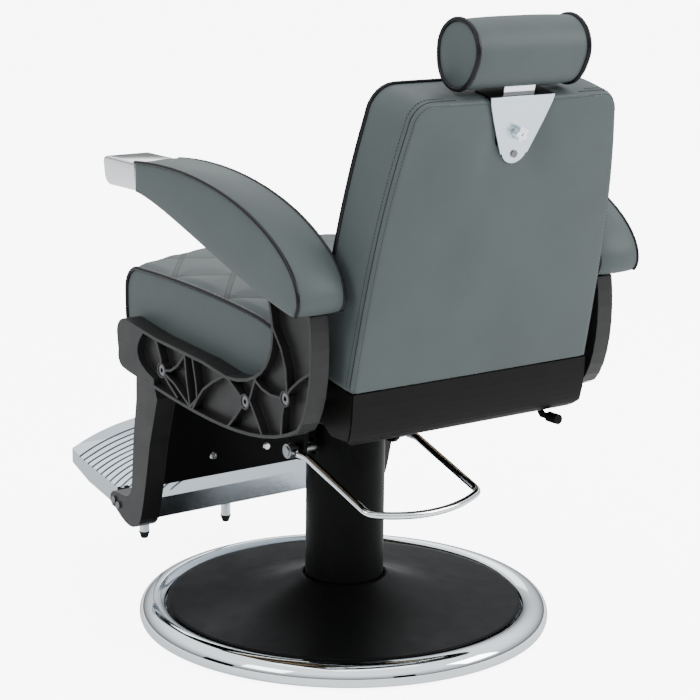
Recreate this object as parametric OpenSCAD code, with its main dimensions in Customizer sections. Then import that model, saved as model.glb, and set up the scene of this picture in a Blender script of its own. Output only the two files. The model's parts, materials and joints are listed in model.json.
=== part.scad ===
// Hydraulic barber chair. The sitter faces -Y, +X is the sitter's left, +Z is up.
// The origin is the middle of the base's underside, on the floor. Millimetres.

/* [Base] */
// Radius of the round base over its bright ring
base_r = 330; // [320:1:345]
// Height of the base's bright ring above the floor
ring_h = 36; // [32:1:40]
// Top of the neck where the cover rises round the column
neck_z = 74; // [66:1:80]

/* [Column] */
// Radius of the sleeve that hides the pump
column_r = 63; // [61:0.5:64]
// Lowest point of that sleeve with the seat fully down
column_bottom = 46; // [44:1:50]
// Radius of the chromed ram
ram_r = 20; // [16:0.5:22]

/* [Seat] */
// Half the distance over the outer faces of the side frames
frame_x = 283; // [280:1:290]
// Thickness of a side frame
frame_t = 30; // [28:1:32]
// Depth of the pockets between a side frame's ribs
pocket_d = 14; // [8:1:18]
// Front face of the seat cushion
seat_front = 257; // [245:1:262]
// Height of the seat cushion's piping
seat_z = 560; // [545:1:570]

/* [Armrests] */
// Outer side of an armrest pad
arm_x = 319; // [310:1:325]
// Width of an armrest pad
arm_w = 82; // [70:1:84]
// Length of the bright cap at an armrest's front end
cap_len = 98; // [80:1:110]

/* [Backrest] */
// Lean of the backrest behind the vertical when it is upright
back_lean = 12; // [10:0.5:14]
// Height of the backrest's rear panel
back_h = 423; // [400:1:440]
// Thickness of the backrest from its front to its rear face
back_t = 105; // [95:1:108]
// Half the backrest's width at its foot
back_hw = 223; // [215:1:226]
// Half the backrest's width at its top
back_hw_top = 181; // [170:1:200]

/* [Headrest] */
// Half the width of the headrest pad
head_hw = 104; // [95:1:115]
// Radius of the headrest pad's section
head_r = 45; // [42:1:47]

/* [Footrest] */
// Half the width of the foot plate
plate_hw = 235; // [225:1:245]
// Distance from one tread rib to the next
tread_pitch = 12; // [10:1:16]

/* [Hidden] */
$fn = 48;
e = 0.5;                           // how far a cutting tool runs past a face

// Base
pad_t = 4;                         // rubber pad under the base
plate_top = 10;
disc_top = 16;
ring_mid = base_r - 24;            // middle radius of the ring's section
cover_edge_r = base_r - 45;        // where the black cover meets the ring
cover_edge_z = ring_h - 4;
cover_t = 2.5;
neck_r = column_r + 3;

// Pump, from the floor up
bearing_top = 20;
flange_top = 30;
sleeve_r = column_r - 5.5;
sleeve_top = 212;
ram_top = 246;
gland_z = 60;
head_z = [250, 275];               // pump head, underside and top
axle_z = 292;                      // pedal axle
plate_z = [397, 407];              // steel plate under the seat
fit = 0.05;                        // running clearance on a radius

// Seat structure
frame_in = frame_x - frame_t;
rail_z = [407, 443];
rail_w = 30;
rail_y = [-97, 134];               // middle of the front and rear rails
bolt_z = 425;
pan_z = [443, 455];
shaft = [236, 451];                // recline axis: y, z
shaft_r = 10;
knee = [-205, 420];                // leg axis: y, z
knee_r = 8;

// Links between the backrest and the legs: equal cranks on parallel lines
recline_max = 45;
crank_r = 50;
crank = [crank_r * sin(recline_max / 2), -crank_r * cos(recline_max / 2)];
link_x = [198, 208];
strut_x = 150;
strut_crank_r = 58;
strut_pin = shaft + strut_crank_r * [sin(recline_max / 2), -cos(recline_max / 2)];
strut_stroke = 2 * strut_crank_r * sin(recline_max / 2);
strut_z = shaft[1] - strut_crank_r * (1 + cos(recline_max / 2)) / 2;

// Legs
leg_x = [215, 250];

// Backrest, in its own tilted frame: y is depth from the rear face, z runs up the back
back_foot = [0, 313, 464];
board_y = [-36, -22];
guide_y = [-20, -2];
post_y = [-14, -8];
post_hw = 28;
guide_z = 240;                     // lower end of the post's guide, up the back
head_low = 52;                     // depth of its underside below that
head_c = [-32, 482];               // middle of the headrest pad in the back's frame

// ---------- helpers ----------

function bez(a, b, c, d, n = 10) = [for (i = [0:n]) let (t = i / n, u = 1 - t)
  u * u * u * a + 3 * u * u * t * b + 3 * u * t * t * c + t * t * t * d];
function arc(c, r, a0, a1, n = 8) = [for (i = [0:n]) let (a = a0 + (a1 - a0) * i / n)
  c + r * [cos(a), sin(a)]];

// Extrudes an outline drawn in (y, z) from x0 to x1
module yz(x0, x1) translate([x0, 0, 0]) rotate([90, 0, 90]) linear_extrude(x1 - x0) children();
// A bar along X through the point (y, z)
module xbar(p, r, x0, x1) translate([x0, p[0], p[1]]) rotate([0, 90, 0]) cylinder(r = r, h = x1 - x0);
// A bar from one point to another
module bar(a, b, r) {
  d = b - a;
  translate(a) rotate([0, acos(d[2] / norm(d)), atan2(d[1], d[0])]) cylinder(r = r, h = norm(d));
}
module tube(r1, r0, z0, z1) difference() {
  translate([0, 0, z0]) cylinder(r = r1, h = z1 - z0);
  translate([0, 0, z0 - e]) cylinder(r = r0, h = z1 - z0 + 2 * e);
}
// A flat strip of even width along a list of points
module strip(pts, w) {
  for (i = [0:len(pts) - 2]) {
    d = pts[i + 1] - pts[i];
    translate(pts[i]) rotate(atan2(d[1], d[0])) translate([0, -w / 2]) square([norm(d), w]);
  }
  for (p = pts) translate(p) circle(d = w, $fn = 12);
}
module both() for (s = [0, 1]) mirror([s, 0, 0]) children();
module on_back() translate(back_foot) rotate([-back_lean, 0, 0]) children();

// ---------- base ----------

module floor_pad() color("dimgray") cylinder(r = base_r - 20, h = pad_t);

module base_disc() color("slategray") difference() {
  union() {
    translate([0, 0, pad_t]) cylinder(r = base_r - 8, h = plate_top - pad_t);
    translate([0, 0, plate_top - e]) cylinder(r = 62, h = disc_top - plate_top + e);
  }
  for (a = [45:90:315]) rotate(a) translate([48, 0, pad_t - e]) cylinder(r = 4.2, h = disc_top);
}

// Arched section of the ring, open below
function ell(w, h, a0, a1, n) = [for (i = [0:n]) let (a = a0 + (a1 - a0) * i / n)
  [ring_mid + w * cos(a), 14 + h * sin(a)]];
module base_ring() color("silver") rotate_extrude($fn = 120)
  polygon(concat(ell(24, ring_h - 14, 190.5, -27, 20), ell(21.5, ring_h - 16.5, -30.8, 191.8, 16)));

module base_cover() {
  n = 12;
  neck = [for (i = [0:n]) let (t = i / n)
    [cover_edge_r - t * (cover_edge_r - neck_r), cover_edge_z + (neck_z - cover_edge_z) * pow(t, 2.6)]];
  color("black") rotate_extrude($fn = 120)
    polygon(concat(neck, [for (i = [n:-1:0]) neck[i] - [0, cover_t + (i == n ? 8 : 0)]]));
}

module thrust_bearing() color("silver") tube(52, 40, disc_top, bearing_top);

module base_bolts() color("dimgray") for (a = [45:90:315]) rotate(a) translate([48, 0, pad_t + 1])
  cylinder(r = 4, h = disc_top - pad_t - 2);

// ---------- turning ram ----------

module ram() color("silver") {
  translate([0, 0, flange_top - 10]) cylinder(r = ram_r, h = ram_top - flange_top + 10);
}

module inner_sleeve() color("dimgray") difference() {
  union() {
    translate([0, 0, bearing_top]) cylinder(r = sleeve_r, h = flange_top - bearing_top);
    tube(sleeve_r, sleeve_r - 2.5, flange_top - e, sleeve_top);
  }
  translate([0, 0, bearing_top - e]) cylinder(r = ram_r, h = 20);
}

// ---------- pump, which rises and turns with the seat ----------

module column_sleeve() color("black") difference() {
  tube(column_r, column_r - 3, column_bottom, plate_z[0]);
  xbar([0, axle_z], 13, -80, 80);
}

module pump_cylinder() color("gray") tube(30, ram_r + fit, gland_z + 12, head_z[0]);
module oil_reservoir() color("dimgray") tube(50, 42, gland_z + 12, head_z[0]);
module pump_gland() color("silver") tube(50, ram_r + fit, gland_z, gland_z + 12);

module pump_head() color("gray") difference() {
  translate([0, 0, head_z[0]]) cylinder(r = 56, h = head_z[1] - head_z[0]);
  translate([0, 22, head_z[0] + 4]) cylinder(r = 3 + fit, h = 40);
}

module pump_yoke() color("dimgray") difference() {
  tube(56, 47, head_z[1], plate_z[0]);
  xbar([0, axle_z], 10, -80, 80);
}

module pump_plunger() color("silver") translate([0, 22, head_z[0] + 16])
  cylinder(r = 3, h = axle_z - 7.8 - head_z[0] - 16);

// ---------- seat structure ----------

module seat_bracket() color("dimgray") difference() {
  translate([-110, rail_y[0] - 15, plate_z[0]]) cube([220, rail_y[1] - rail_y[0] + 30, plate_z[1] - plate_z[0]]);
  translate([0, 0, plate_z[0] - e]) cylinder(r = 25, h = 20);
}

module rail(y) difference() {
  translate([-frame_in, y - rail_w / 2, rail_z[0]]) cube([2 * frame_in, rail_w, rail_z[1] - rail_z[0]]);
  translate([-frame_in + 12, y - rail_w / 2 + 3, rail_z[0] + 3])
    cube([2 * frame_in - 24, rail_w - 6, rail_z[1] - rail_z[0] - 6]);
  for (s = [-1, 1]) xbar([y, bolt_z], 5, s * (frame_in - 6) - 6 - e, s * (frame_in - 6) + 6 + e);
}
module seat_rails() color("dimgray") {
  for (y = rail_y) rail(y);
  // foot that the strut's front end stands on
  translate([strut_x - 12, rail_y[0] - 8, strut_z - 12]) cube([24, 16, rail_z[0] - strut_z + 13]);
}

module seat_pan() color("burlywood") translate([-245, -245, pan_z[0]]) cube([490, 412, pan_z[1] - pan_z[0]]);

// Side outline of the seat cushion: y, z
seat_rear = 203;
seat_side = concat(
  [[-seat_front + 6, pan_z[1]]],
  arc([-seat_front + 36, seat_z - 36], 36, 180, 90),
  bez([-170, seat_z + 3], [-60, seat_z + 10], [60, seat_z + 4], [seat_rear - 16, seat_z - 14], 6),
  [[seat_rear, seat_z - 32], [seat_rear, pan_z[1]]]);
module seat_cushion() color("gray") yz(-frame_in + 1, frame_in - 1) polygon(seat_side);

// Side frame: y, z
frame_top = concat(
  [[297, 580], [180, 612]],
  bez([180, 612], [225, 535], [205, 455], [85, 454], 12),
  [[20, 464], [-117, 474]]);
frame_nose = concat(arc([-206, 462], 25, 90, 195), arc([-208, 426], 20, 160, 255, 6));
frame_low = concat(
  bez([-195, 403], [-60, 385], [150, 345], [269, 409], 14),
  bez([269, 409], [300, 440], [308, 520], [297, 580], 8));
frame_outline = concat(frame_top, frame_nose, frame_low);
rib_w = 4;
rim_w = 5;
boss_r = 12;
bosses = [[rail_y[0], bolt_z], [rail_y[1], bolt_z], shaft];
ribs = [
  [[-112, 470], [-98, 442], [-97, 425]],
  [[-97, 425], [-70, 430], [-50, 442], [-32, 460]],
  [[-97, 425], [-75, 408], [-52, 392]],
  [[-97, 425], [-60, 412], [-15, 385]],
  [[-30, 462], [-24, 425], [-15, 385]],
  [[-8, 462], [2, 425], [5, 402], [-15, 385]],
  [[-8, 383], [6, 402], [22, 420], [50, 438], [82, 454]],
  [[82, 454], [110, 439], [134, 424]],
  [[134, 424], [112, 400], [82, 371]],
  [[162, 466], [146, 430], [168, 402], [185, 375]],
  [[160, 463], [178, 454], [202, 449], [236, 451]],
  [[236, 451], [250, 468], [272, 485], [302, 503]],
  [[236, 451], [230, 425], [226, 384]],
  [[184, 606], [206, 548], [226, 522], [238, 495], [241, 465], [236, 451]]
];
module nose_face() polygon(concat(
  [[-260, 500], [-150, 500]],
  bez([-150, 474], [-175, 450], [-182, 425], [-119, 407], 8),
  [[-119, 380], [-260, 380]]));
module frame_pocket() difference() {
  offset(delta = -rim_w) polygon(frame_outline);
  nose_face();
  for (r = ribs) strip(r, rib_w);
  for (b = bosses) translate(b) circle(r = boss_r);
}
module side_frame() difference() {
  yz(frame_in, frame_x) polygon(frame_outline);
  yz(frame_x - pocket_d, frame_x + e) frame_pocket();
  for (y = rail_y) {
    xbar([y, bolt_z], 5, frame_in - e, frame_x + e);
    xbar([y, bolt_z], 9, frame_x - 7, frame_x + e);
  }
  xbar(shaft, shaft_r, frame_in - e, frame_x - 7);
  xbar(shaft, 9, frame_x - 7 - e, frame_x + e);
  xbar(knee, knee_r, frame_in - e, frame_x - 8);
}
module side_frame_left() color("dimgray") side_frame();
module side_frame_right() color("dimgray") mirror([1, 0, 0]) side_frame();

// Socket screw with its head in a counterbore, pointing along +X
module socket_screw(p, tip) difference() {
  union() {
    xbar(p, 4.9, tip, frame_x - 6.8);
    xbar(p, 8.5, frame_x - 7, frame_x - 1);
  }
  xbar(p, 4, frame_x - 5, frame_x + e, $fn = 6);
}
module frame_bolts() color("silver") both() for (y = rail_y) socket_screw([y, bolt_z], frame_in - 11);
module shaft_end_screws() color("silver") both() difference() {
  xbar(shaft, 8.5, frame_x - 7, frame_x - 1);
  xbar(shaft, 4, frame_x - 5, frame_x + e, $fn = 6);
}
module recline_shaft() color("silver") xbar(shaft, shaft_r - fit, -frame_x + 7, frame_x - 7);
module knee_pins() color("silver") both() xbar(knee, knee_r, leg_x[0] + 5, frame_x - 8);

// ---------- armrests ----------

arm_front = -112;
arm_tail = concat(
  bez([arm_front, 748], [110, 770], [300, 690], [317, 606], 14),
  arc([304, 600], 14, 10, -70, 5));
arm_under = bez([298, 584], [150, 615], [-30, 695], [arm_front, 703], 12);
core_t = 12;
core_x = frame_in + 9;
function frame_top_z(y) = 580 + (297 - y) * 32 / 117;
module core_side() polygon(concat(
  [[286, frame_top_z(286)], [205, frame_top_z(205)]],
  bez([204, 612], [120, 655], [0, 705], [arm_front, 713], 6),
  bez([arm_front, 735], [60, 735], [200, 700], [286, 615], 8)));
module arm_core() yz(core_x, core_x + core_t) core_side();
module arm_pad() difference() {
  yz(arm_x - arm_w, arm_x) polygon(concat(arm_tail, arm_under));
  yz(core_x, core_x + core_t) core_side();
  yz(core_x, core_x + core_t) translate([0, -6]) core_side();
}
module arm_cap() yz(arm_x - arm_w + 2, arm_x - 2) polygon(concat(
  [[arm_front, 703]], [[arm_front, 747]], [[arm_front - cap_len + 12, 746]],
  arc([arm_front - cap_len + 9, 737], 9, 90, 175, 5),
  arc([arm_front - cap_len + 24, 722], 18, 190, 262, 5)));
module arm_core_left() color("dimgray") arm_core();
module arm_core_right() color("dimgray") mirror([1, 0, 0]) arm_core();
module arm_pad_left() color("gray") arm_pad();
module arm_pad_right() color("gray") mirror([1, 0, 0]) arm_pad();
module arm_cap_left() color("silver") arm_cap();
module arm_cap_right() color("silver") mirror([1, 0, 0]) arm_cap();

// ---------- recline strut ----------

strut_r = 10;
strut_rear = 150;
module strut_cylinder() color("black") difference() {
  translate([strut_x, rail_y[0] + 8, strut_z]) rotate([-90, 0, 0]) cylinder(r = strut_r, h = strut_rear - rail_y[0] - 8);
  translate([strut_x, 20, strut_z]) rotate([-90, 0, 0]) cylinder(r = 5 + fit, h = 200);
}
module strut_rod() color("silver") difference() {
  union() {
    translate([strut_x, 90, strut_z]) rotate([-90, 0, 0]) cylinder(r = 5, h = strut_pin[0] - 12 - 90);
    translate([strut_x - 5, strut_pin[0] - 13, strut_z - 13]) cube([10, 24, 26]);
  }
  // upright slot: the pin rises and falls a little as the back tilts
  translate([strut_x - 6, strut_pin[0] - 6.5, strut_z - 8.5]) cube([12, 13, 17]);
}

// ---------- foot pedal ----------

loop_r = 6;
loop_x = 108;
loop_tilt = 18;                    // fall of the loop towards the rear
loop_knee = [52, 290];             // y, z where an arm bends down from the axle's level
loop_len = 148;                    // from that bend to the rear corner
loop_corner = 18;
loop_bow = 25;                     // half the angle the cross bar curves through
bow_r = (loop_x - loop_corner + loop_corner * sin(loop_bow)) / sin(loop_bow);
// Right half of the rod's path, drawn in the loop's own tilted plane, from the cross bar's middle to the bend
function tilted(p) = [p[0], loop_knee[0] + p[1] * cos(loop_tilt), loop_knee[1] - p[1] * sin(loop_tilt)];
half_loop = concat(
  arc([0, loop_len - (bow_r - loop_corner) * cos(loop_bow)], bow_r, 90, 90 - loop_bow, 6),
  arc([loop_x - loop_corner, loop_len], loop_corner, 80 - loop_bow, 0, 6),
  [[loop_x, loop_len * 0.6], [loop_x, loop_len * 0.25], [loop_x, 5]]);
arm_end = [[loop_x, 47, 291.2], [loop_x, 42, 292], [loop_x, 13, 292]];
right_arm = concat([for (p = half_loop) tilted(p)], arm_end);
loop_path = concat([for (i = [len(right_arm) - 1:-1:1]) right_arm[i]],
  [for (p = right_arm) [-p[0], p[1], p[2]]]);
// A round rod along a list of points, as one closed skin
module rod(p, r, up, sides = 16) {
  function unit(v) = v / norm(v);
  n = len(p);
  rings = [for (i = [0:n - 1]) let (t = unit(p[min(i + 1, n - 1)] - p[max(i - 1, 0)]),
    b = unit(cross(t, up)), u = cross(b, t)) for (k = [0:sides - 1]) let (a = 360 * k / sides)
    p[i] + r * (cos(a) * b + sin(a) * u)];
  sides_of = [for (i = [0:n - 2], k = [0:sides - 1]) let (q = (k + 1) % sides)
    [i * sides + k, i * sides + q, (i + 1) * sides + q, (i + 1) * sides + k]];
  polyhedron(rings, concat(sides_of, [[for (k = [sides - 1:-1:0]) k]],
    [[for (k = [0:sides - 1]) (n - 1) * sides + k]]));
}
module pedal_loop() color("silver") rod(loop_path, loop_r, [0, sin(loop_tilt), cos(loop_tilt)]);
// Axle with a welded eye at each end of the loop, and the finger that works the plunger
module pedal_axle() color("dimgray") {
  xbar([0, axle_z], 7.8, -loop_x - 9, loop_x + 9);
  both() xbar([0, axle_z], 11.5, loop_x - 6.5, loop_x + 6.5);
  translate([-6, 0, axle_z - 7]) cube([12, 28, 14]);
}
lug_x = [88, 96];
module pedal_lugs() color("black") both() difference() {
  yz(lug_x[0], lug_x[1]) polygon([[-32, plate_z[0]], [-17, axle_z - 8], [-8, axle_z - 15], [8, axle_z - 15],
    [17, axle_z - 8], [32, plate_z[0]]]);
  xbar([0, axle_z], 7.8 + fit, lug_x[0] - e, lug_x[1] + e);
}

// ---------- legs and footrest ----------

leg_side = concat(
  arc(knee, 17, 0, 180, 8),
  [[-228, 400], [-229, 346], [-238, 286], [-246, 195]],
  bez([-246, 195], [-252, 172], [-266, 174], [-284, 174], 5),
  arc([-302, 160], 14, 80, 240, 7),
  bez([-300, 147], [-270, 126], [-250, 122], [-232, 131], 5),
  bez([-232, 131], [-218, 140], [-216, 150], [-203, 205], 5),
  [[-188, 279], [-164, 359]]);
plate_screw_at = [[-302, 160], [-288, 154]];
crank_pin = knee + crank;
module leg() difference() {
  union() {
    yz(leg_x[0], leg_x[1]) polygon(leg_side);
    xbar(crank_pin, 5, link_x[0] - 4, leg_x[0] + e);
  }
  xbar(knee, knee_r + fit, leg_x[0] + 4.5, leg_x[1] + e);
  for (p = plate_screw_at) xbar(p, 3, leg_x[0] - e, leg_x[1] + e);
}
module leg_left() color("black") leg();
module leg_right() color("black") mirror([1, 0, 0]) leg();

apron_y = [-228, -224];
apron_z = [197, 390];
module leg_apron() color("black") translate([-leg_x[0], apron_y[0], apron_z[0]])
  cube([2 * leg_x[0], apron_y[1] - apron_y[0], apron_z[1] - apron_z[0]]);
module apron_screws() color("silver") for (x = [-106, 0, 106], z = [230, 350])
  translate([x, apron_y[1], z]) rotate([-90, 0, 0]) cylinder(r1 = 7, r2 = 5, h = 3);
module calf_pad() color("gray") yz(-208, 208) polygon(concat(
  [[apron_y[0], 202]], arc([-242, 216], 12, 270, 180, 5), arc([-242, 374], 12, 180, 90, 5),
  [[apron_y[0], 386]]));

// Foot plate: side outline, cut to an arc in plan
tread_r = 490;
tread_c = [0, -40];
groove_w = 4;
groove_d = 3;
tread_top = [[-268, 160], [-302, 172], [-393, 188], [-440, 197], [-480, 209], [-532, 228]];
tread_low = [[-536, 214], [-520, 200], [-466, 180], [-413, 160], [-344, 146], [-300, 134], [-268, 126]];
module foot_plan() difference() {
  intersection() {
    translate(tread_c) circle(r = tread_r, $fn = 160);
    translate([-plate_hw, -560]) square([2 * plate_hw, 292]);
  }
  both() translate([leg_x[0], -318]) square([60, 100]);
}
module foot_plate() color("silver") difference() {
  intersection() {
    yz(-plate_hw - 5, plate_hw + 5) polygon(concat(tread_top, tread_low));
    translate([0, 0, 100]) linear_extrude(200) foot_plan();
  }
  intersection() {
    yz(-plate_hw - 10, plate_hw + 10) polygon(concat(
      [for (p = tread_top) p + [0, 5]], [for (i = [len(tread_top) - 1:-1:0]) tread_top[i] - [0, groove_d]]));
    translate([0, 0, 110]) linear_extrude(180) difference() {
      for (k = [1:16]) translate(tread_c) difference() {
        circle(r = tread_r - 14 - k * tread_pitch + groove_w, $fn = 160);
        circle(r = tread_r - 14 - k * tread_pitch, $fn = 160);
      }
      translate([-300, -282]) square([600, 400]);
    }
  }
  for (p = plate_screw_at, s = [0, 1]) mirror([s, 0, 0]) xbar(p, 3, 190, 240);
  // hollow underside, with a boss left round each stub foot
  difference() {
    intersection() {
      yz(-leg_x[0] + 24, leg_x[0] - 24) polygon(concat([for (p = tread_top) p - [0, 9]], [[-532, 90], [-268, 90]]));
      translate([0, 0, 60]) linear_extrude(240) difference() {
        translate(tread_c) circle(r = tread_r - 8, $fn = 160);
        translate([-300, -277]) square([600, 400]);
      }
    }
    both() translate([stub[0], stub[1], 60]) cylinder(r = 15, h = 240);
  }
  both() translate([stub[0], stub[1], 60]) cylinder(r = 9, h = stub_top - 60);
}
module foot_plate_screws() color("dimgray") both() for (p = plate_screw_at) {
  xbar(p, 2.9, 195, leg_x[1]);
  xbar(p, 6, leg_x[1], leg_x[1] + 3);
}
stub = [86, -482];
stub_top = 196;
stub_tip = [15, 27];               // height of the tip's underside and top
module stub_feet() color("silver") both() translate([stub[0], stub[1], stub_tip[1]])
  cylinder(r = 9, h = stub_top - stub_tip[1]);
module stub_tips() color("black") both() translate([stub[0], stub[1], stub_tip[0]]) cylinder(r1 = 6, r2 = 10, h = 12);

module link_rods() color("dimgray") both() difference() {
  union() {
    translate([(link_x[0] + link_x[1]) / 2, 0, 0])
      bar([0, shaft[0] + crank[0], shaft[1] + crank[1]], [0, crank_pin[0], crank_pin[1]], 4);
    for (p = [shaft + crank, crank_pin]) xbar(p, 9, link_x[0], link_x[1]);
  }
  xbar(crank_pin, 5 + fit, link_x[0] - e, link_x[1] + e);
  xbar(shaft + crank, 5 + 0.3, link_x[0] - e, link_x[1] + e);
}

// ---------- backrest ----------

// Half width of the back at a height up its own frame, before the corners are rounded
function back_half(z) = back_hw - 8 * pow(z / back_h, 1) - (back_hw - 8 - back_hw_top) * pow(z / back_h, 3);
module back_outline(inset, top, foot) {
  n = 8;
  r = 34 - inset;
  side = [for (i = [0:n]) let (z = foot + (top - r - foot) * i / n) [back_half(z) - inset, z]];
  corner = arc([back_half(top - r) - inset - r, top - r], r, 0, 90, 6);
  right = concat(side, corner);
  polygon(concat(right, [for (i = [len(right) - 1:-1:0]) [-right[i][0], right[i][1]]]));
}
// Extrudes an outline drawn in (x, z) of the back's frame from depth y0 to y1
module depth(y0, y1) translate([0, y1, 0]) rotate([90, 0, 0]) linear_extrude(y1 - y0) children();

module back_cushion() color("gray") on_back() depth(-back_t, board_y[0]) back_outline(0, back_h, 0);
module back_board() color("burlywood") on_back() depth(board_y[0], board_y[1]) back_outline(6, back_h - 6, 6);
module back_panel() color("gray") on_back() difference() {
  depth(board_y[1], 0) back_outline(0, back_h, 0);
  translate([-36, board_y[1] - e, guide_z]) cube([72, guide_y[1] - board_y[1] + e, 260]);
  translate([-57, -30, back_h - 8]) cube([114, 40, 20]);
  translate([0, 0, back_h - 50]) rotate([90, 0, 0]) cylinder(r = 4.5, h = 20, center = true);
  translate([0, 0, back_h - 82]) rotate([90, 0, 0]) cylinder(r = 3, h = 20, center = true);
}
module post_guide() color("black") on_back() difference() {
  translate([-36, guide_y[0], guide_z]) cube([72, guide_y[1] - guide_y[0], back_h - 8 - guide_z]);
  translate([-post_hw - 0.2, post_y[0] - 0.2, guide_z - 2]) cube([2 * post_hw + 0.4, 6.4, 260]);
  translate([0, 0, back_h - 50]) rotate([90, 0, 0]) cylinder(r = 4.5, h = 20, center = true);
  translate([0, 0, back_h - 82]) rotate([90, 0, 0]) cylinder(r = 3, h = 20, center = true);
}
module top_bezel() color("black") on_back() difference() {
  union() {
    translate([-58, -34, back_h + 0.2]) cube([116, 34, 2.6]);
    translate([-56, -21.5, back_h - 7.5]) cube([112, 21.5, 9.5]);
  }
  translate([-post_hw - 0.2, post_y[0] - 0.2, back_h - 20]) cube([2 * post_hw + 0.4, 6.4, 40]);
}
module head_plate() color("silver") on_back() difference() {
  depth(0, 2.5) polygon(concat([[-58, back_h + 2], [58, back_h + 2]],
    bez([56, back_h - 8], [44, back_h - 40], [34, back_h - 60], [24, back_h - 82], 4),
    arc([0, back_h - 72], 24, -20, -160, 8),
    bez([-24, back_h - 82], [-34, back_h - 60], [-44, back_h - 40], [-56, back_h - 8], 4)));
  translate([0, 0, back_h - 50]) rotate([90, 0, 0]) cylinder(r = 4.5, h = 20, center = true);
  translate([0, 0, back_h - 82]) rotate([90, 0, 0]) cylinder(r = 3, h = 20, center = true);
}
module plate_screw() color("silver") on_back() translate([0, 0, back_h - 82]) rotate([-90, 0, 0]) {
  translate([0, 0, -7]) cylinder(r = 2.9, h = 10);
  translate([0, 0, 2.5]) cylinder(r = 5.5, h = 2);
}
// Clamp knob: screw, collar and five lobes to turn it by
module lock_knob() color("silver") on_back() translate([0, 0, back_h - 50]) {
  rotate([-90, 0, 0]) translate([0, 0, -7.8]) cylinder(r = 4.4, h = 20);
  rotate([-90, 0, 0]) translate([0, 0, 2.8]) cylinder(r = 8.5, h = 4);
  for (a = [0:72:288]) rotate([-90, 0, 0]) rotate(a) translate([6.5, 0, 5]) cylinder(r = 4.2, h = 9);
}

// Hinge plates: shaft boss, crank arm and a flange that runs up the board
ear_t = 8;
function up_back(y, z) = [back_foot[1] + y * cos(back_lean) + z * sin(back_lean),
  back_foot[2] - y * sin(back_lean) + z * cos(back_lean)];
module ear(x0, arm_r) {
  pin = shaft + arm_r * [sin(recline_max / 2), -cos(recline_max / 2)];
  yz(x0, x0 + ear_t) {
    translate(shaft) circle(r = 17);
    translate(pin) circle(r = 9);
    polygon([shaft + [-13, -8], pin + [-8, -2], pin + [8, 2], shaft + [26, -14],
      up_back(-22.5, -1), up_back(-35.5, -1), shaft + [8, 14]]);
  }
}
lever_axis = [262, 389];
function crank_up(y, z) = shaft + crank + [y, z];
module back_hinges() color("dimgray") difference() {
  union() {
    for (s = [0, 1]) mirror([s, 0, 0]) {
      ear(188, crank_r);
      if (s == 1) yz(188, 188 + ear_t) {
        translate(lever_axis) circle(r = 8);
        polygon([crank_up(-9, 0), lever_axis - [8, 0], lever_axis + [8, 0], crank_up(9, 0)]);
      }
      xbar(shaft + crank, 5, 190, link_x[1] + 3);
    }
    ear(strut_x - 16, strut_crank_r);
    xbar(strut_pin, 5, strut_x - 10, strut_x + 9);
    // bar that joins the hinge plates under the board
    on_back() translate([-196, -35.5, -4]) cube([392, 13, 10]);
  }
  xbar(shaft, shaft_r, -300, 300);
  xbar(lever_axis, 4 + fit, -200, -180);
}

shell_x = 221;
shell_rear = concat(
  [[313, 463]], bez([313, 458], [313, 430], [309, 410], [305, 398], 5),
  bez([305, 398], [301, 386], [294, 382], [276, 381], 5));
shell_in = concat(
  [[276, 384]], bez([280, 384.5], [293, 386], [298, 390], [301, 399], 5),
  bez([302, 399], [306, 411], [310, 430], [310, 458], 5), [[310, 463]]);
module shell_wing() polygon([[218, 484], [216, 440], [236, 412], [276, 386], [302, 392], [308, 415], [311, 462]]);
module back_shell() color("black") difference() {
  union() {
    yz(-shell_x + 2, shell_x - 2) polygon(concat(shell_rear, shell_in));
    both() yz(shell_x - 4, shell_x) shell_wing();
  }
  xbar(shaft, 14, -300, 300);
  // lower corners are cut back on a slant
  both() translate([shell_x - 22, 200, 380]) rotate([0, 58, 0]) cube([60, 200, 40]);
}

lever_x = -172;
module release_lever() color("black") {
  xbar(lever_axis, 4, lever_x - 22, lever_x + 8);
  yz(lever_x - 3, lever_x + 3) polygon([lever_axis + [-4, -1], [266, 371], [271, 366], [290, 366],
    [290, 374], [276, 374], [272, 377], lever_axis + [4, 1]]);
  translate([lever_x, 288, 370]) rotate([-90, 0, 0]) cylinder(r = 8, h = 22);
}

// ---------- headrest ----------

module head_post() color("silver") on_back() {
  translate([-post_hw, post_y[0], guide_z + 14]) cube([2 * post_hw, 6, head_c[1] - 30 - guide_z - 14]);
  translate([-post_hw, head_c[0] - 4, head_c[1] - 33]) cube([2 * post_hw, post_y[1] - head_c[0] + 4, 6]);
  for (s = [-1, 1]) translate([s * 24 - 3, head_c[0] - 8, head_c[1] - 30]) cube([6, 16, 34]);
  translate([0, head_c[0], head_c[1]]) rotate([0, 90, 0]) cylinder(r = 5, h = 66, center = true);
}
// Wooden core that grips the pivot bar by its ends
module head_core() color("burlywood") on_back() difference() {
  translate([-80, head_c[0] - 16, head_c[1] - 12]) cube([160, 32, 32]);
  translate([-29, head_c[0] - 18, head_c[1] - 14]) cube([58, 36, 36]);
  translate([0, head_c[0], head_c[1]]) rotate([0, 90, 0]) cylinder(r = 5 + fit, h = 200, center = true);
}
module head_section() polygon(concat(
  arc([0, 2], head_r, -20, 200, 16),
  bez([-head_r + 3, -14], [-37, -34], [-24, -48], [-8, -head_low], 5),
  bez([8, -head_low], [24, -48], [37, -34], [head_r - 3, -14], 5)));
module head_pad() color("gray") on_back() difference() {
  translate([-head_hw, head_c[0], head_c[1]]) rotate([90, 0, 90]) linear_extrude(2 * head_hw) head_section();
  translate([-82, head_c[0] - 18, head_c[1] - 14]) cube([164, 36, 36]);
  translate([-36, head_c[0] - 24, head_c[1] - 60]) cube([72, 62, 60]);
}

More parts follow.
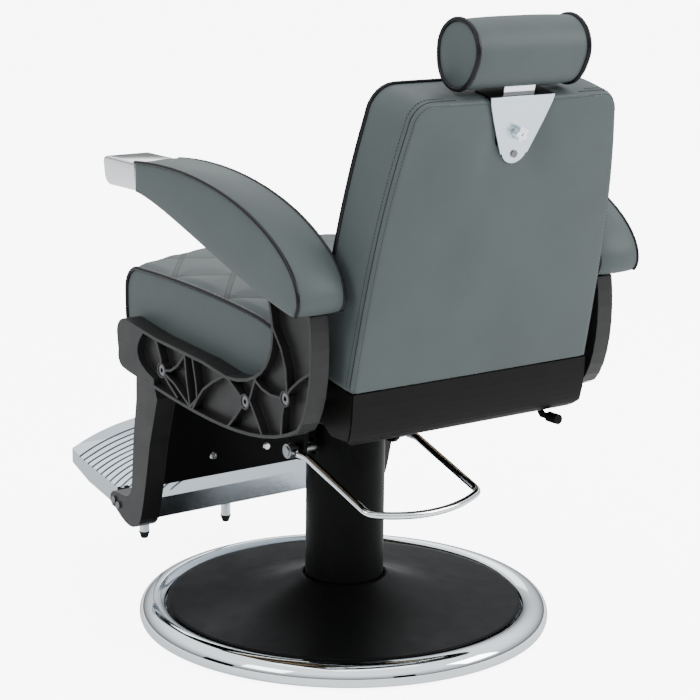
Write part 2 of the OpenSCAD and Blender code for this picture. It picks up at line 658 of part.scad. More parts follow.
floor_pad();
base_disc();
base_ring();
base_cover();
thrust_bearing();
base_bolts();
ram();
inner_sleeve();
column_sleeve();
pump_cylinder();
oil_reservoir();
pump_gland();
pump_head();
pump_yoke();
seat_bracket();
seat_rails();
seat_pan();
seat_cushion();
side_frame_left();
side_frame_right();
frame_bolts();
arm_core_left();
arm_core_right();
arm_pad_left();
arm_pad_right();
arm_cap_left();
arm_cap_right();
recline_shaft();
shaft_end_screws();
strut_cylinder();
pedal_lugs();
knee_pins();
pedal_loop();
pedal_axle();
pump_plunger();
strut_rod();
leg_left();
leg_right();
leg_apron();
apron_screws();
calf_pad();
foot_plate();
foot_plate_screws();
stub_feet();
stub_tips();
link_rods();
back_hinges();
back_board();
back_cushion();
back_panel();
back_shell();
post_guide();
top_bezel();
head_plate();
plate_screw();
lock_knob();
release_lever();
head_post();
head_core();
head_pad();
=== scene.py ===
import bpy, bmesh, json, math
import numpy as np
from mathutils import Vector, Matrix


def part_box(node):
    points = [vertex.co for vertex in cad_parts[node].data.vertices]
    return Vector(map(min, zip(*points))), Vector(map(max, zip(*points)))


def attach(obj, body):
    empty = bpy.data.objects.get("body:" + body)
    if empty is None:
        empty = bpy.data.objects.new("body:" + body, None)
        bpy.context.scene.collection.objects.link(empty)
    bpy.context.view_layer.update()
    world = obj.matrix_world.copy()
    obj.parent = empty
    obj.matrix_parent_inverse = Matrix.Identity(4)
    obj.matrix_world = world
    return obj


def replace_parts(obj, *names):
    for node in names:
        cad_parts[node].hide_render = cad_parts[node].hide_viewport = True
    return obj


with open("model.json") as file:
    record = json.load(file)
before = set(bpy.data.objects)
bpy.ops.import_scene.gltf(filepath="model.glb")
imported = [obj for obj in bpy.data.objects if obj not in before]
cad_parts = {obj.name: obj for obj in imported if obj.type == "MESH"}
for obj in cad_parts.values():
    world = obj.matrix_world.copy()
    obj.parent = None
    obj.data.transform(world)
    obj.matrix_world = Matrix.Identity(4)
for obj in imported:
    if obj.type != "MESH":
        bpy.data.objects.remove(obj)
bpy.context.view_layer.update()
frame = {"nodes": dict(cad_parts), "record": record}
nodes = frame["nodes"]


# ---------- camera ----------

VIEW_AZIMUTH, VIEW_ELEVATION, VIEW_ROLL = (math.radians(a) for a in (143.435, 13.116, 0.739))
VIEW_DISTANCE = 3.341
VIEW_LENS, SENSOR = 108.85, 36     # millimetres
VIEW_HEIGHT, VIEW_SHIFT = 0.44, 0.005


def add_camera():
    az, el, roll = VIEW_AZIMUTH, VIEW_ELEVATION, VIEW_ROLL
    back = Vector((math.sin(az) * math.cos(el), -math.cos(az) * math.cos(el), math.sin(el)))
    right = Vector((math.cos(az), math.sin(az), 0))
    up = back.cross(right)
    target = Vector((0, 0, VIEW_HEIGHT)) + right * VIEW_SHIFT
    r2 = math.cos(roll) * right + math.sin(roll) * up
    u2 = -math.sin(roll) * right + math.cos(roll) * up
    cam = bpy.data.objects.new("camera", bpy.data.cameras.new("camera"))
    bpy.context.scene.collection.objects.link(cam)
    cam.data.sensor_width = SENSOR
    cam.data.lens = VIEW_LENS
    m = Matrix((r2, u2, back)).transposed().to_4x4()
    m.translation = target + back * VIEW_DISTANCE
    cam.matrix_world = m
    bpy.context.scene.camera = cam


add_camera()


# ---------- materials ----------

def new_mat(name, color, rough, metal=0.0, **sockets):
    m = bpy.data.materials.new(name)
    m.use_nodes = True
    b = m.node_tree.nodes["Principled BSDF"]
    b.inputs["Base Color"].default_value = (*color, 1)
    b.inputs["Roughness"].default_value = rough
    b.inputs["Metallic"].default_value = metal
    for k, v in sockets.items():
        b.inputs[k.replace("_", " ")].default_value = v
    return m


class Net:
    """Short hand for building one material's nodes."""

    def __init__(self, mat):
        self.t = mat.node_tree
        self.bsdf = self.t.nodes["Principled BSDF"]

    def node(self, kind, **props):
        n = self.t.nodes.new(kind)
        for k, v in props.items():
            setattr(n, k, v)
        return n

    def link(self, a, b):
        self.t.links.new(a, b)

    def coords(self):
        return self.node("ShaderNodeTexCoord").outputs["Object"]

    def noise(self, scale, detail=3.0, rough=0.5, vec=None, stretch=None):
        n = self.node("ShaderNodeTexNoise")
        n.inputs["Scale"].default_value = scale
        n.inputs["Detail"].default_value = detail
        n.inputs["Roughness"].default_value = rough
        v = vec or self.coords()
        if stretch:
            mp = self.node("ShaderNodeMapping")
            mp.inputs["Scale"].default_value = stretch
            self.link(v, mp.inputs["Vector"])
            v = mp.outputs["Vector"]
        self.link(v, n.inputs["Vector"])
        return n.outputs["Fac"] if "Fac" in n.outputs else n.outputs[0]

    def voronoi(self, scale, feature="F1"):
        n = self.node("ShaderNodeTexVoronoi", feature=feature)
        n.inputs["Scale"].default_value = scale
        self.link(self.coords(), n.inputs["Vector"])
        return n.outputs["Distance"]

    def math(self, op, a, b=0.0, c=None):
        n = self.node("ShaderNodeMath", operation=op)
        for i, v in enumerate((a, b) if c is None else (a, b, c)):
            if isinstance(v, (int, float)):
                n.inputs[i].default_value = v
            else:
                self.link(v, n.inputs[i])
        return n.outputs[0]

    def remap(self, v, a, b, lo, hi):
        n = self.node("ShaderNodeMapRange")
        for i, x in enumerate((a, b, lo, hi)):
            n.inputs[i + 1].default_value = x
        self.link(v, n.inputs[0])
        return n.outputs[0]

    def mix(self, fac, c1, c2):
        n = self.node("ShaderNodeMix", data_type="RGBA")
        if isinstance(fac, (int, float)):
            n.inputs[0].default_value = fac
        else:
            self.link(fac, n.inputs[0])
        for i, c in ((6, c1), (7, c2)):
            if isinstance(c, tuple):
                n.inputs[i].default_value = (*c, 1)
            else:
                self.link(c, n.inputs[i])
        return n.outputs[2]

    def bump(self, height, strength, dist, prev=None):
        n = self.node("ShaderNodeBump")
        n.inputs["Strength"].default_value = strength
        n.inputs["Distance"].default_value = dist
        self.link(height, n.inputs["Height"])
        if prev is not None:
            self.link(prev, n.inputs["Normal"])
        return n.outputs["Normal"]

    def color(self, v):
        self.link(v, self.bsdf.inputs["Base Color"])

    def rough(self, v):
        self.link(v, self.bsdf.inputs["Roughness"])

    def normal(self, v):
        self.link(v, self.bsdf.inputs["Normal"])


def tint(c, k):
    return tuple(min(1.0, x * k) for x in c)


GREY = (0.072, 0.0865, 0.0865)
THREAD_COLOR = (0.008, 0.009, 0.010)
STITCH_GAP = 0.0034                # each row of stitches from the middle of a channel
STITCH_HALF = 0.0009
STITCH_PITCH, STITCH_SHARE = 0.0045, 0.74
# how far the painted shade reaches from each channel's crease
CREASE_SHADE_REACH = 0.006


def quilt_lines(n, pitch, phi):
    """Two masks from the UV map: the double rows of stitches, and painted shade that darkens each channel's
    crease.
    """
    sep = n.node("ShaderNodeSeparateXYZ")
    n.link(n.node("ShaderNodeUVMap").outputs["UV"], sep.inputs[0])
    u, v = sep.outputs[0], sep.outputs[1]
    cos, sin = math.cos(phi), math.sin(phi)
    thread = crease_shade = None
    for s in (1, -1):
        across = n.math("ADD", n.math("MULTIPLY", u, cos * s), n.math("MULTIPLY", v, sin))
        along = n.math("SUBTRACT", n.math("MULTIPLY", v, cos), n.math("MULTIPLY", u, sin * s))
        cell = n.math("SUBTRACT", n.math("FRACT", n.math("DIVIDE", across, pitch)), 0.5)
        off = n.math("MULTIPLY", n.math("ABSOLUTE", cell), pitch)
        line = n.math("LESS_THAN", n.math("ABSOLUTE", n.math("SUBTRACT", off, STITCH_GAP)), STITCH_HALF)
        dash = n.math("LESS_THAN", n.math("FRACT", n.math("DIVIDE", along, STITCH_PITCH)), STITCH_SHARE)
        on = n.math("MULTIPLY", line, dash)
        # painted shade: colour darkened close to each channel's crease
        crease_shade_fade = n.remap(off, 0.0, CREASE_SHADE_REACH, 0.8, 0.0)
        thread = on if thread is None else n.math("MAXIMUM", thread, on)
        crease_shade = crease_shade_fade if crease_shade is None else n.math("MAXIMUM", crease_shade, crease_shade_fade)
    return thread, crease_shade


def leather(name, base=GREY, quilt=None):
    """Grained leatherette with faint pores, worn ridges and, where asked, quilting with painted shade in
    its creases.
    """
    m = new_mat(name, base, 0.5, Specular_IOR_Level=0.16)
    n = Net(m)
    cloud = n.noise(9.0, 4.0)
    fine = n.noise(420.0, 2.0)
    pores = n.voronoi(950.0)
    col = n.mix(n.remap(cloud, 0.3, 0.7, 0.0, 1.0), tint(base, 0.93), tint(base, 1.07))
    col = n.mix(n.remap(pores, 0.0, 0.35, 0.55, 0.0), col, tint(base, 0.72))
    wear = n.node("ShaderNodeNewGeometry").outputs["Pointiness"]
    col = n.mix(n.remap(wear, 0.53, 0.62, 0.0, 0.35), col, tint(base, 1.2))
    height = n.math("ADD", n.math("MULTIPLY", pores, 0.7), n.math("MULTIPLY", fine, 0.4))
    nor = n.bump(height, 0.16, 0.0006)
    nor = n.bump(n.noise(26.0, 2.0), 0.10, 0.004, nor)
    rough = n.remap(n.math("ADD", cloud, n.math("MULTIPLY", fine, 0.5)), 0.4, 1.1, 0.40, 0.56)
    if quilt:
        thread, crease_shade = quilt_lines(n, *quilt)
        # painted shade: the creases of the quilt channels are darkened in colour
        col = n.mix(crease_shade, col, tint(base, 0.5))
        col = n.mix(n.math("MULTIPLY", thread, 0.9), col, THREAD_COLOR)
    n.color(col)
    n.rough(rough)
    n.normal(nor)
    return m


def vinyl(name):
    """Glossy black piping."""
    m = new_mat(name, (0.006, 0.006, 0.007), 0.3, Specular_IOR_Level=0.2)
    n = Net(m)
    n.color(n.mix(n.noise(60.0), (0.0045, 0.0045, 0.0055), (0.008, 0.008, 0.0095)))
    n.rough(n.remap(n.noise(120.0), 0.3, 0.7, 0.22, 0.38))
    n.normal(n.bump(n.noise(700.0, 2.0), 0.12, 0.0004))
    return m


def painted(name, base, r0, r1, grain, depth, bevel=0.0, spread=1.15, gloss=0.16):
    """A coating, plastic or rubber: roughness runs from r0 to r1, and grain is its texture's scale."""
    m = new_mat(name, base, r0, Specular_IOR_Level=gloss)
    n = Net(m)
    n.color(n.mix(n.noise(14.0, 4.0), tint(base, 1 / spread), tint(base, spread)))
    n.rough(n.remap(n.noise(30.0, 3.0), 0.3, 0.7, r0, r1))
    prev = None
    if bevel:
        edge = n.node("ShaderNodeBevel", samples=4)
        edge.inputs["Radius"].default_value = bevel
        prev = edge.outputs[0]
    n.normal(n.bump(n.noise(grain, 3.0), 0.2, depth, prev))
    return m


def metal(name, base, r0, r1, brush=None, strength=0.03):
    """Bare metal: smudged where polished, or with lines drawn out by brush."""
    m = new_mat(name, base, r0, 1.0)
    n = Net(m)
    smudge = n.noise(7.0, 4.0)
    n.color(n.mix(smudge, tint(base, 0.96), tint(base, 1.03)))
    if brush:
        lines = n.noise(90.0, 3.0, stretch=brush)
        n.rough(n.remap(n.math("ADD", smudge, lines), 0.7, 1.3, r0, r1))
        n.normal(n.bump(lines, strength, 0.0004))
    else:
        n.rough(n.remap(smudge, 0.3, 0.7, r0, r1))
        n.normal(n.bump(n.noise(18.0, 2.0), strength, 0.0006))
    return m


def wood(name):
    m = new_mat(name, (0.5, 0.36, 0.2), 0.6)
    n = Net(m)
    grain = n.noise(30.0, 5.0, stretch=(1.0, 6.0, 6.0))
    n.color(n.mix(grain, (0.36, 0.24, 0.13), (0.62, 0.46, 0.28)))
    n.rough(n.remap(grain, 0.3, 0.7, 0.5, 0.75))
    n.normal(n.bump(grain, 0.2, 0.0008))
    return m


QUILT = (0.093, math.radians(39))
LEATHER = leather("grey_leather")
QUILTED = leather("grey_quilted", quilt=QUILT)
VINYL = vinyl("black_piping")
THREAD = painted("seam_thread", (0.02, 0.021, 0.022), 0.55, 0.7, 900.0, 0.0003)
CHROME = metal("chrome", (0.80, 0.85, 0.88), 0.035, 0.09)
SATIN = metal("satin_chrome", (0.60, 0.68, 0.73), 0.24, 0.36, brush=(1.0, 30.0, 30.0), strength=0.06)
POLISHED = metal("polished_alloy", (0.88, 0.89, 0.90), 0.10, 0.22, brush=(30.0, 1.0, 30.0), strength=0.04)
TREAD = metal("tread_alloy", (0.42, 0.46, 0.50), 0.16, 0.28, brush=(2.0, 30.0, 30.0), strength=0.05)
STEEL = metal("raw_steel", (0.42, 0.43, 0.44), 0.3, 0.45, brush=(30.0, 30.0, 1.0))
BRIGHT = metal("bright_screw", (0.65, 0.66, 0.67), 0.2, 0.32)
DARK = metal("dark_screw", (0.16, 0.16, 0.17), 0.3, 0.45)
SATIN_BLACK = painted("satin_black", (0.0030, 0.0030, 0.0032), 0.36, 0.42, 500.0, 0.0002, gloss=0.06)
CAST_BLACK = painted("cast_black", (0.0105, 0.0102, 0.0100), 0.34, 0.44, 320.0, 0.0004,
                     bevel=0.0014, gloss=0.3)
SHELL_BLACK = painted("shell_black", (0.0038, 0.0036, 0.0033), 0.36, 0.44, 260.0, 0.0002, gloss=0.10)
RUBBER = painted("rubber", (0.013, 0.013, 0.013), 0.7, 0.85, 300.0, 0.0006)
WOOD = wood("plywood")

BY_SLOT = {
    "chrome": CHROME, "satin_chrome": SATIN, "polished_alloy": POLISHED, "raw_steel": STEEL,
    "black_steel": SATIN_BLACK, "black_cast_alloy": CAST_BLACK, "black_plastic": SHELL_BLACK,
    "black_rubber": RUBBER, "dark_screw": DARK, "bright_screw": BRIGHT, "plywood": WOOD,
    "grey_leather": LEATHER, "grey_cushion": LEATHER,
}
slot_of = {s["node"]: s["material_slot"] for s in frame["record"]["subparts"]}
for name, obj in nodes.items():
    obj.data.materials.clear()
    obj.data.materials.append(TREAD if name == "foot_plate" else BY_SLOT[slot_of[name]])
    for p in obj.data.polygons:
        p.material_index = 0


# ---------- mesh helpers ----------

def make(name, verts, faces, mat, body, sharp=(), uv=None, plain=(0, 0)):
    """One mesh piece. Faces in the plain range get no quilting lines."""
    me = bpy.data.meshes.new(name)
    me.from_pydata([tuple(v) for v in verts], [], faces)
    me.validate()
    bm = bmesh.new()
    bm.from_mesh(me)
    bmesh.ops.recalc_face_normals(bm, faces=bm.faces)
    bm.to_mesh(me)
    bm.free()
    me.shade_smooth()
    if sharp:
        keys = {frozenset(e) for e in sharp}
        for e in me.edges:
            if frozenset(e.vertices) in keys:
                e.use_edge_sharp = True
    if uv is not None:
        layer = me.uv_layers.new(name="UVMap")
        for p in me.polygons:
            is_plain = plain[0] <= p.index < plain[1]
            for i in p.loop_indices:
                layer.data[i].uv = (0, 0) if is_plain else uv[me.loops[i].vertex_index]
    me.materials.append(mat)
    ob = bpy.data.objects.new(name, me)
    bpy.context.scene.collection.objects.link(ob)
    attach(ob, body)
    return ob


def tube(name, pts, r, mat, body, closed=False, sides=12):
    """A round cord along points, with frames carried along it."""
    p = [Vector(q) for q in pts]
    n = len(p)
    verts, faces = [], []
    tans = []
    for i in range(n):
        before, after = ((i - 1) % n, (i + 1) % n) if closed else (max(i - 1, 0), min(i + 1, n - 1))
        tans.append((p[after] - p[before]).normalized())
    u = tans[0].orthogonal().normalized()
    for i in range(n):
        if i:
            u = (tans[i - 1].rotation_difference(tans[i]) @ u).normalized()
        w = tans[i].cross(u)
        for k in range(sides):
            a = 2 * math.pi * k / sides
            verts.append(p[i] + r * (math.cos(a) * u + math.sin(a) * w))
    shift = 0
    if closed:
        u_end = (tans[-1].rotation_difference(tans[0]) @ u).normalized()
        u0 = (Vector(verts[0]) - p[0]).normalized()
        ang = math.atan2(u0.dot(tans[0].cross(u_end)), u0.dot(u_end))
        shift = round(ang / (2 * math.pi) * sides)
    last = n if closed else n - 1
    for i in range(last):
        j = (i + 1) % n
        d = shift if (closed and i == n - 1) else 0
        for k in range(sides):
            q = (k + 1) % sides
            a, b = i * sides, j * sides
            faces.append((a + k, a + q, b + (q - d) % sides, b + (k - d) % sides))
    if not closed:
        faces.append(tuple(range(sides))[::-1])
        faces.append(tuple((n - 1) * sides + k for k in range(sides)))
    return make(name, verts, faces, mat, body)


def revolve(name, profile, mat, body, steps):
    """A closed profile of (radius, z) turned about the Z axis."""
    n = len(profile)
    verts = []
    faces = []
    for i in range(steps):
        turn = 2 * math.pi * i / steps
        verts += [(r * math.cos(turn), r * math.sin(turn), z) for r, z in profile]
        a, b = i * n, (i + 1) % steps * n
        faces += [(a + k, b + k, b + (k + 1) % n, a + (k + 1) % n) for k in range(n)]
    return make(name, verts, faces, mat, body)


def prism(name, outline, x0, x1, bevel, mat, body, segments=4):
    """An outline drawn in (y, z), extruded along X, with its edges rounded."""
    bm = bmesh.new()
    a = [bm.verts.new((x0, y, z)) for y, z in outline]
    b = [bm.verts.new((x1, y, z)) for y, z in outline]
    n = len(outline)
    bm.faces.new(a[::-1])
    bm.faces.new(b)
    for i in range(n):
        bm.faces.new((a[i], a[(i + 1) % n], b[(i + 1) % n], b[i]))
    bmesh.ops.recalc_face_normals(bm, faces=bm.faces)
    edges = [e for e in bm.edges if e.calc_face_angle(0) > math.radians(35)]
    bmesh.ops.bevel(bm, geom=edges, offset=bevel, segments=segments, profile=0.5, affect="EDGES",
                    clamp_overlap=True)
    me = bpy.data.meshes.new(name)
    bm.to_mesh(me)
    bm.free()
    me.shade_smooth()
    me.materials.append(mat)
    ob = bpy.data.objects.new(name, me)
    bpy.context.scene.collection.objects.link(ob)
    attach(ob, body)
    return ob


def bez(a, b, c, d, n):
    t = np.linspace(0, 1, n)[:, None]
    a, b, c, d = (np.array(x, float) for x in (a, b, c, d))
    return (1 - t) ** 3 * a + 3 * (1 - t) ** 2 * t * b + 3 * (1 - t) * t * t * c + t ** 3 * d


def arc(c, r, a0, a1, n):
    a = np.radians(np.linspace(a0, a1, n))
    return np.stack([c[0] + r * np.cos(a), c[1] + r * np.sin(a)], 1)


def spread(pts, n, closed=False):
    """n points evenly along a polyline."""
    p = np.asarray(pts, float)
    if closed:
        p = np.vstack([p, p[:1]])
    s = np.concatenate([[0], np.cumsum(np.linalg.norm(np.diff(p, axis=0), axis=1))])
    t = np.linspace(0, s[-1], n, endpoint=not closed)
    return np.stack([np.interp(t, s, p[:, k]) for k in range(p.shape[1])], 1)


def soften(p, times=2, closed=False):
    p = np.array(p, float)
    for _ in range(times):
        q = p.copy()
        if closed:
            q = (np.roll(p, 1, 0) + 2 * p + np.roll(p, -1, 0)) / 4
        else:
            q[1:-1] = (p[:-2] + 2 * p[1:-1] + p[2:]) / 4
        p = q
    return p


def quilt_height(u, v, pitch, phi, deep=0.0026):
    """Padded diamonds: u and v are distances on the surface."""
    best = None
    for s in (1, -1):
        p = s * u * math.cos(phi) + v * math.sin(phi)
        d = np.abs((p / pitch) % 1.0 - 0.5) * pitch
        best = d if best is None else np.minimum(best, d)
    d = np.maximum(best - 0.0035, 0)
    pillow = deep * (1 - np.exp(-(d / 0.016) ** 1.4))
    ridge = 0.0005 * np.exp(-(best / 0.0018) ** 2)
    return pillow + ridge - deep


def loft_x(name, half, body, mat, nx, side_a, side_b, lift, bulge, uv=False, columns=14, centre=0.0):
    """A closed padded form across X. side_a and side_b are matched outlines in (y, z), front to rear.
    lift(x, s, which) raises side a or b at the distances s along it; bulge is how far the ends swell."""
    m = len(side_a)
    loop = np.vstack([side_a, side_b[::-1]])
    n = len(loop)
    tan = np.roll(loop, -1, 0) - np.roll(loop, 1, 0)
    tan /= np.linalg.norm(tan, axis=1)[:, None] + 1e-12
    nor = np.stack([-tan[:, 1], tan[:, 0]], 1)
    mid = loop.mean(0)
    if np.sum((loop - mid) * nor) < 0:
        nor = -nor
    s = np.concatenate([[0], np.cumsum(np.linalg.norm(np.diff(side_a, axis=0), axis=1))])
    xs = half * np.sin(np.linspace(-1, 1, nx) * math.pi / 2 * 0.92) / math.sin(math.pi / 2 * 0.92)
    verts, uvs = [], []
    for x in xs:
        off = np.zeros(n)
        off[:m] = lift(x, s, "a")
        off[m:] = lift(x, s[::-1], "b")
        pts = loop + nor * off[:, None]
        for i in range(n):
            verts.append((centre + x, pts[i, 0], pts[i, 1]))
            uvs.append((x, s[i] if i < m else -0.3 - s[n - 1 - i]))
    faces = []
    for j in range(nx - 1):
        for i in range(n):
            q = (i + 1) % n
            faces.append((j * n + i, j * n + q, (j + 1) * n + q, (j + 1) * n + i))
    sharp = []
    for side, j in ((-1, 0), (1, nx - 1)):
        base = j * n
        A = [np.array(verts[base + i]) for i in range(m)]
        B = [np.array(verts[base + n - 1 - i]) for i in range(m)]
        rows = []
        for i in range(m):
            row = [base + i]
            for c in range(1, columns):
                if i in (0, m - 1):
                    continue
                w = c / columns
                p = A[i] * (1 - w) + B[i] * w
                e = i / (m - 1)
                p[0] += side * bulge * (math.sin(math.pi * w) ** 0.6) * (math.sin(math.pi * e) ** 0.5)
                verts.append(tuple(p))
                uvs.append((0, 0))
                row.append(len(verts) - 1)
            row.append(base + n - 1 - i)
            rows.append(row)
        faces.append(tuple([rows[0][0]] + rows[1] + [rows[0][-1]]))
        faces.append(tuple([rows[-1][0]] + rows[-2] + [rows[-1][-1]]))
        for i in range(1, m - 2):
            for c in range(columns):
                faces.append((rows[i][c], rows[i + 1][c], rows[i + 1][c + 1], rows[i][c + 1]))
        for i in range(n):
            sharp.append((base + i, base + (i + 1) % n))
    caps = ((nx - 1) * n, len(faces))
    return make(name, verts, faces, mat, body, sharp, uvs if uv else None, caps)


def smooth01(t):
    t = np.clip(t, 0, 1)
    return t * t * (3 - 2 * t)


# ---------- seat cushion ----------

SIDES = (("left", 1), ("right", -1))
SEAT_HALF = 0.2475
SEAT_UNDER = 0.4515
SEAT_POINTS = 170
PIPE_R = 0.0036
seat_top = soften(spread(np.vstack([
    [(-0.250, 0.4535), (-0.2555, 0.480)], arc((-0.221, 0.526), 0.0355, 180, 96, 9),
    bez((-0.214, 0.5605), (-0.10, 0.5625), (0.02, 0.556), (0.120, 0.543), 24),
    bez((0.128, 0.541), (0.165, 0.534), (0.200, 0.520), (0.202, 0.492), 10),
    [(0.200, 0.478)]]), SEAT_POINTS), 6)
seat_bottom = spread(np.vstack([
    [(-0.246, SEAT_UNDER), (0.150, SEAT_UNDER)],
    bez((0.152, SEAT_UNDER), (0.178, 0.452), (0.194, 0.460), (0.199, 0.473), 8)]), SEAT_POINTS)


def seat_lift(x, s, which):
    u = abs(x) / SEAT_HALF
    edge = 1 - u ** 3.2
    if which == "b":
        return np.zeros_like(s)
    total = max(s[0], s[-1])
    along = smooth01((s - 0.035) / 0.10) * (1 - smooth01((s - (total - 0.12)) / 0.11))
    crown = 0.019 * edge * along
    near = smooth01((1 - u) * SEAT_HALF / 0.020)
    ends = smooth01((s - 0.01) / 0.02) * (1 - smooth01((s - (total - 0.03)) / 0.03))
    return crown + quilt_height(x, s, *QUILT) * near * ends + 0.004 * near * along


seat = loft_x("seat_cushion_cover", SEAT_HALF, "seat", QUILTED, 190, seat_top, seat_bottom, seat_lift,
              0.0028, uv=True)
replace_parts(seat, "seat_cushion")
for k, side in SIDES:
    line = [(side * (SEAT_HALF + 0.0005), y, z) for y, z in soften(seat_top, 3)]
    tube(f"seat_piping_{k}", line, PIPE_R, VINYL, "seat")


# ---------- armrests ----------

ARM_X, ARM_HALF = 0.278, 0.0385
ARM_FRONT_TOP, ARM_FRONT_LOW = (-0.112, 0.7475), (-0.112, 0.7035)
ARM_POINTS = 130
arm_top = soften(spread(np.vstack([
    bez(ARM_FRONT_TOP, (0.110, 0.7690), (0.300, 0.690), (0.3165, 0.612), 40),
    arc((0.3005, 0.6015), 0.0165, 25, -60, 8)]), ARM_POINTS), 5)
arm_low = spread(bez(ARM_FRONT_LOW, (-0.030, 0.6950), (0.150, 0.615), (0.2985, 0.5855), 30), ARM_POINTS)


def arm_lift(x, s, which):
    u = abs(x) / ARM_HALF
    total = max(s[0], s[-1])
    edge = 1 - u ** 2.4
    fade = smooth01(s / 0.05)
    if which == "b":
        return np.full_like(s, 0.0015) * edge * fade
    return (0.0055 * edge + 0.0006) * fade * (1 - 0.6 * smooth01((s - (total - 0.03)) / 0.03))


cap_outline = [(-0.1125, 0.704), (-0.1125, 0.7475), (-0.198, 0.7478)]
cap_outline += arc((-0.2005, 0.7378), 0.0095, 85, 170, 6).tolist()
cap_outline += arc((-0.188, 0.722), 0.0185, 195, 262, 7).tolist()
for k, side in SIDES:
    pad = loft_x(f"arm_cover_{k}", ARM_HALF, "seat", LEATHER, 34, arm_top, arm_low, arm_lift,
                 0.0035, centre=side * ARM_X)
    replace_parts(pad, f"arm_pad_{k}")
    for j, e in (("outer", 1), ("inner", -1)):
        line = [(side * (ARM_X + e * (ARM_HALF + 0.0003)), y, z) for y, z in soften(arm_top, 2)]
        tube(f"arm_piping_{k}_{j}", line, 0.0030, VINYL, "seat")
    cap = prism(f"arm_cap_shell_{k}", cap_outline, side * ARM_X - ARM_HALF, side * ARM_X + ARM_HALF, 0.0038,
                POLISHED, "seat")
    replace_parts(cap, f"arm_cap_{k}")


# ---------- backrest ----------

LEAN = math.radians(12)
FOOT = (0.0, 0.313, 0.464)


def on_back(x, d, h):
    """x across, d forward of the rear face when negative, h up the back."""
    cos, sin = math.cos(LEAN), math.sin(LEAN)
    return (x, FOOT[1] + d * cos + h * sin, FOOT[2] - d * sin + h * cos)


BACK_H = 0.423
FRONT_D = -0.0905                  # depth of the piped front edge


def back_half(h, hw=0.2225, top=0.181):
    t = np.clip(h / BACK_H, 0, 1)
    return hw - 0.008 * t - (hw - 0.008 - top) * t ** 3


def back_loop(inset, radius, foot, extra_top=0.0, lift_top=0.0, n=90):
    """Half outline from the foot's middle to the top's middle, as (x, h)."""
    top = BACK_H + lift_top
    r = radius
    h = np.linspace(foot, top - inset - r, 30)
    w = back_half(h) - inset + extra_top * (h / BACK_H) ** 2
    side = np.stack([w, h], 1)
    c = (side[-1, 0] - r, side[-1, 1])
    corner = arc(c, r, 2, 90, 10)
    half = np.vstack([[(0.0, foot)], side, corner, [(0.0, top - inset)]])
    return spread(half, n)


def back_cover():
    n = 90
    specs = [  # depth, inset, corner radius, widening of the top
        (-0.0005, 0.0075, 0.028, 0.0),
        (-0.0022, 0.0040, 0.031, 0.0),
        (-0.0062, 0.0012, 0.034, 0.0),
        (-0.0100, 0.0016, 0.034, 0.0),
        (-0.0145, 0.0000, 0.034, 0.0005),
        (-0.0300, -0.0005, 0.034, 0.002),
        (-0.0520, -0.0008, 0.036, 0.004),
        (-0.0740, -0.0003, 0.038, 0.006),
        (-0.0860, 0.0004, 0.040, 0.007),
        (FRONT_D, 0.0010, 0.040, 0.007),
    ]
    rings = []
    for d, inset, r, wide in specs:
        half = back_loop(inset, r, 0.001, wide, n=n)
        ring = [on_back(x, d, h) for x, h in half] + [on_back(-x, d, h) for x, h in half[::-1][1:-1]]
        rings.append(ring)
    m = len(rings[0])
    verts = [v for r in rings for v in r]
    flat = back_loop(specs[-1][1], specs[-1][2], 0.001, specs[-1][3], n=n)
    uvs = [(0, 0)] * (len(verts) - m) + [tuple(q) for q in flat] + [(-x, h) for x, h in flat[::-1][1:-1]]
    faces = []
    for j in range(len(rings) - 1):
        for i in range(m):
            q = (i + 1) % m
            faces.append((j * m + i, j * m + q, (j + 1) * m + q, (j + 1) * m + i))
    for which in ("rear", "front"):
        j = 0 if which == "rear" else len(rings) - 1
        d0, inset, r, wide = specs[j]
        half = back_loop(inset, r, 0.001, wide, n=n)
        columns = 110
        rows = []
        for i in range(1, n - 1):
            w, h = half[i]
            row = [j * m + i]
            for c in range(1, columns):
                t = 1 - 2 * c / columns
                x = w * t
                ex = max(0.0, 1 - abs(t) ** 3)
                eh = max(0.0, 1 - abs(2 * h / (BACK_H - inset) - 1) ** 4)
                if which == "rear":
                    crown = 0.0065 * ex * eh
                    dent = 0.0055 * math.exp(-((x / 0.052) ** 4 + ((h - 0.375) / 0.062) ** 4))
                    below = ((abs(x) - 0.045) / 0.028) ** 2 + ((h - 0.335) / 0.045) ** 2
                    soft = 0.0025 * math.exp(-below)
                    d = d0 + crown - dent - soft
                else:
                    near = float(smooth01(min((1 - abs(t)) * w, h, BACK_H - h) / 0.022))
                    d = d0 - 0.016 * ex * eh - (quilt_height(x, h, QUILT[0], QUILT[1]) + 0.004) * near
                verts.append(on_back(x, d, h))
                uvs.append((x, h))
                row.append(len(verts) - 1)
            row.append(j * m + (m - i))
            rows.append(row)
        if which == "front":
            first_front = len(faces)
        faces.append(tuple([j * m] + rows[0]))
        faces.append(tuple([j * m + n - 1] + rows[-1][::-1]))
        for a, b in zip(rows, rows[1:]):
            for c in range(columns):
                faces.append((a[c], a[c + 1], b[c + 1], b[c]))
    last = (len(rings) - 1) * m
    sharp = [(last + i, last + (i + 1) % m) for i in range(m)]
    ob = make("back_cover", verts, faces, QUILTED, "back", sharp, uvs, (0, first_front))
    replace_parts(ob, "back_cushion", "back_panel")
    front = back_loop(0.0006, 0.040, 0.001, 0.007, n=n)[4:]
    line = [on_back(x, FRONT_D, h) for x, h in front]
    line += [on_back(-x, FRONT_D, h) for x, h in front[::-1][1:]]
    tube("back_piping", line, PIPE_R, VINYL, "back")


